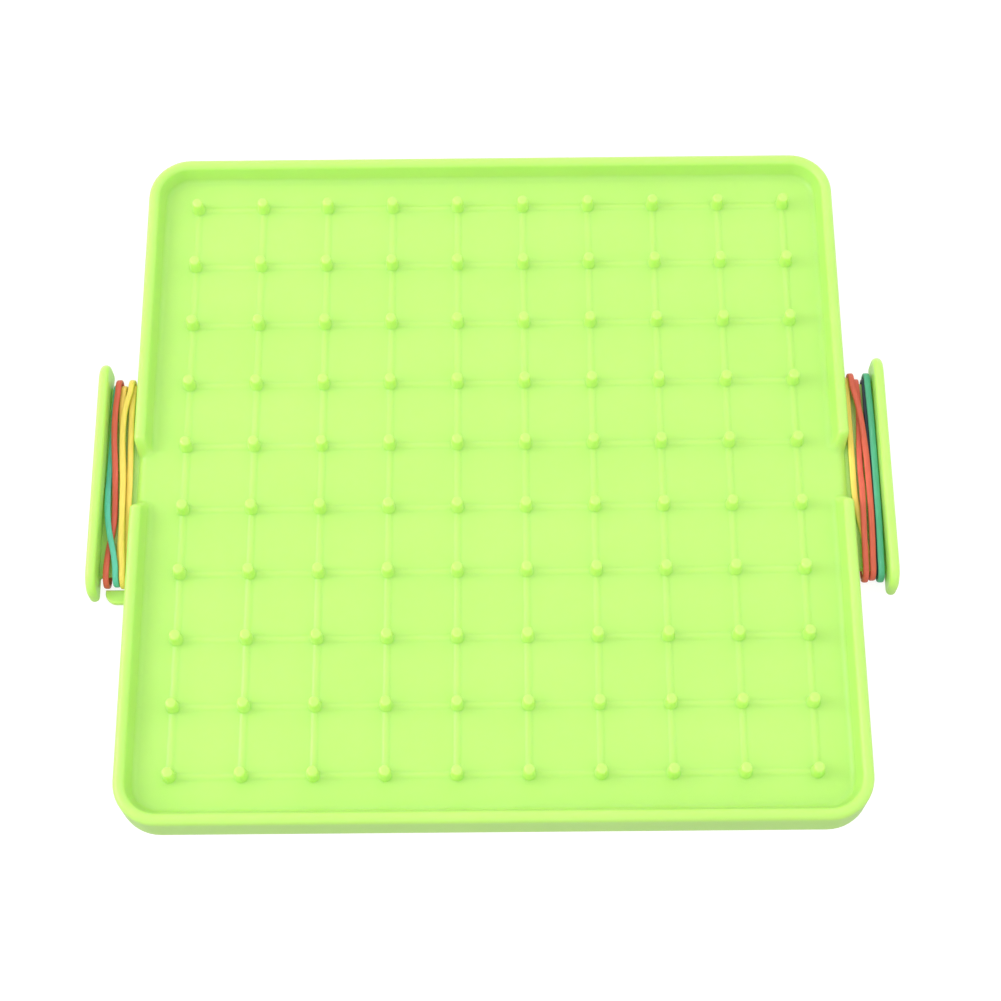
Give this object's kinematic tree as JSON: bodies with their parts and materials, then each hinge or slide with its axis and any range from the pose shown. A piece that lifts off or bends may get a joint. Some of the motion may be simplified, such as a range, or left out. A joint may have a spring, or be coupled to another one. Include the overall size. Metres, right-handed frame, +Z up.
{
  "type": "geoboard",
  "caption": "Square pegged plastic tray with a raised grid, a rounded rim and a cleat on each side that holds wound rubber bands.",
  "frame": {"origin": "centre of the underside, on the plane that the skirt stands on", "axes": "+X to the right across both cleats, +Y to the back, +Z up out of the pegged side"},
  "size_m": [0.222, 0.2, 0.012],
  "materials": {
    "lime_plastic": "smooth injection-moulded plastic, lime green, slightly translucent, soft gloss",
    "rubber_teal": "matt elastic rubber, teal",
    "rubber_green": "matt elastic rubber, green",
    "rubber_red": "matt elastic rubber, coral red",
    "rubber_yellow": "matt elastic rubber, golden yellow",
    "rubber_navy": "matt elastic rubber, dark navy"
  },
  "bodies": {
    "board": {"board": "lime_plastic"},
    "left_band_teal": {"left_band_teal": "rubber_teal"},
    "left_band_red": {"left_band_red": "rubber_red"},
    "left_band_yellow_1": {"left_band_yellow_1": "rubber_yellow"},
    "left_band_yellow_2": {"left_band_yellow_2": "rubber_yellow"},
    "left_band_yellow_3": {"left_band_yellow_3": "rubber_yellow"},
    "right_band_yellow": {"right_band_yellow": "rubber_yellow"},
    "right_band_red_1": {"right_band_red_1": "rubber_red"},
    "right_band_red_2": {"right_band_red_2": "rubber_red"},
    "right_band_navy": {"right_band_navy": "rubber_navy"},
    "right_band_green": {"right_band_green": "rubber_green"}
  },
  "joints": [
    {"name": "left_band_teal_pull_off", "type": "slide", "parent": "board", "child": "left_band_teal", "axis": [-1, 0, 0], "range_m": [0, 0.018], "deforming": ["left_band_teal"]},
    {"name": "left_band_red_pull_off", "type": "slide", "parent": "board", "child": "left_band_red", "axis": [-1, 0, 0], "range_m": [0, 0.018], "deforming": ["left_band_red"]},
    {"name": "left_band_yellow_1_pull_off", "type": "slide", "parent": "board", "child": "left_band_yellow_1", "axis": [-1, 0, 0], "range_m": [0, 0.018], "deforming": ["left_band_yellow_1"]},
    {"name": "left_band_yellow_2_pull_off", "type": "slide", "parent": "board", "child": "left_band_yellow_2", "axis": [-1, 0, 0], "range_m": [0, 0.018], "deforming": ["left_band_yellow_2"]},
    {"name": "left_band_yellow_3_pull_off", "type": "slide", "parent": "board", "child": "left_band_yellow_3", "axis": [-1, 0, 0], "range_m": [0, 0.018], "deforming": ["left_band_yellow_3"]},
    {"name": "right_band_yellow_pull_off", "type": "slide", "parent": "board", "child": "right_band_yellow", "axis": [1, 0, 0], "range_m": [0, 0.018], "deforming": ["right_band_yellow"]},
    {"name": "right_band_red_1_pull_off", "type": "slide", "parent": "board", "child": "right_band_red_1", "axis": [1, 0, 0], "range_m": [0, 0.018], "deforming": ["right_band_red_1"]},
    {"name": "right_band_red_2_pull_off", "type": "slide", "parent": "board", "child": "right_band_red_2", "axis": [1, 0, 0], "range_m": [0, 0.018], "deforming": ["right_band_red_2"]},
    {"name": "right_band_navy_pull_off", "type": "slide", "parent": "board", "child": "right_band_navy", "axis": [1, 0, 0], "range_m": [0, 0.018], "deforming": ["right_band_navy"]},
    {"name": "right_band_green_pull_off", "type": "slide", "parent": "board", "child": "right_band_green", "axis": [1, 0, 0], "range_m": [0, 0.018], "deforming": ["right_band_green"]}
  ]
}
